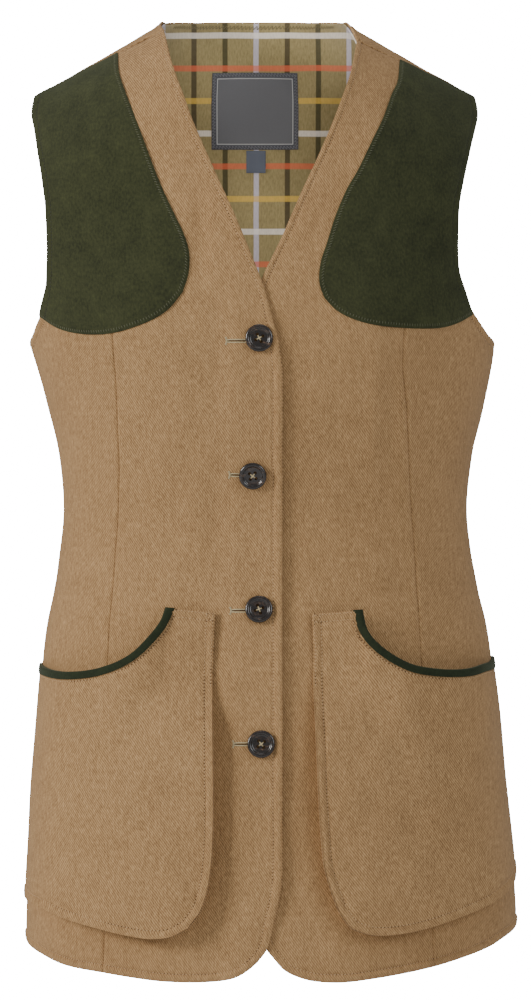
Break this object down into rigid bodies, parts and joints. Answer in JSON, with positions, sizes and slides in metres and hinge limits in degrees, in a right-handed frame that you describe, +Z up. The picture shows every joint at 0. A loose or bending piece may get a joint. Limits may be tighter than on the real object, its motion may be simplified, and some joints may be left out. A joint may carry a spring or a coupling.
{
  "type": "shooting vest",
  "caption": "Sleeveless V-neck vest in tan cotton with suede shoulder patches, curved patch pockets bound in suede and a buttoned front, shown as worn.",
  "frame": {"origin": "on the shoulders' centre line, level with the top of the shoulder seams at the neck, where the wearer's shoulders hold the vest", "axes": "+Z up the wearer's back, -Y out of the vest's front, +X to the wearer's left"},
  "size_m": [0.3582, 0.2727, 0.6848],
  "materials": {
    "tan_cloth": "brushed cotton twill",
    "green_suede": "suede with a short nap",
    "check_lining": "brushed cotton with a fine windowpane check",
    "horn_button": "mottled horn look",
    "woven_label": "smooth woven ribbon, no lettering"
  },
  "bodies": {
    "root": {"back": "tan_cloth", "lining_back": "check_lining", "front_right_side": "tan_cloth", "front_right_centre": "tan_cloth", "front_left_centre": "tan_cloth", "front_left_side": "tan_cloth", "shoulder_patch_right": "green_suede", "shoulder_patch_left": "green_suede", "pocket_right": "tan_cloth", "pocket_left": "tan_cloth", "pocket_binding_right": "green_suede", "pocket_binding_left": "green_suede", "button_1": "horn_button", "button_2": "horn_button", "button_3": "horn_button", "button_4": "horn_button", "label_main": "woven_label", "label_size": "woven_label"}
  },
  "joints": []
}
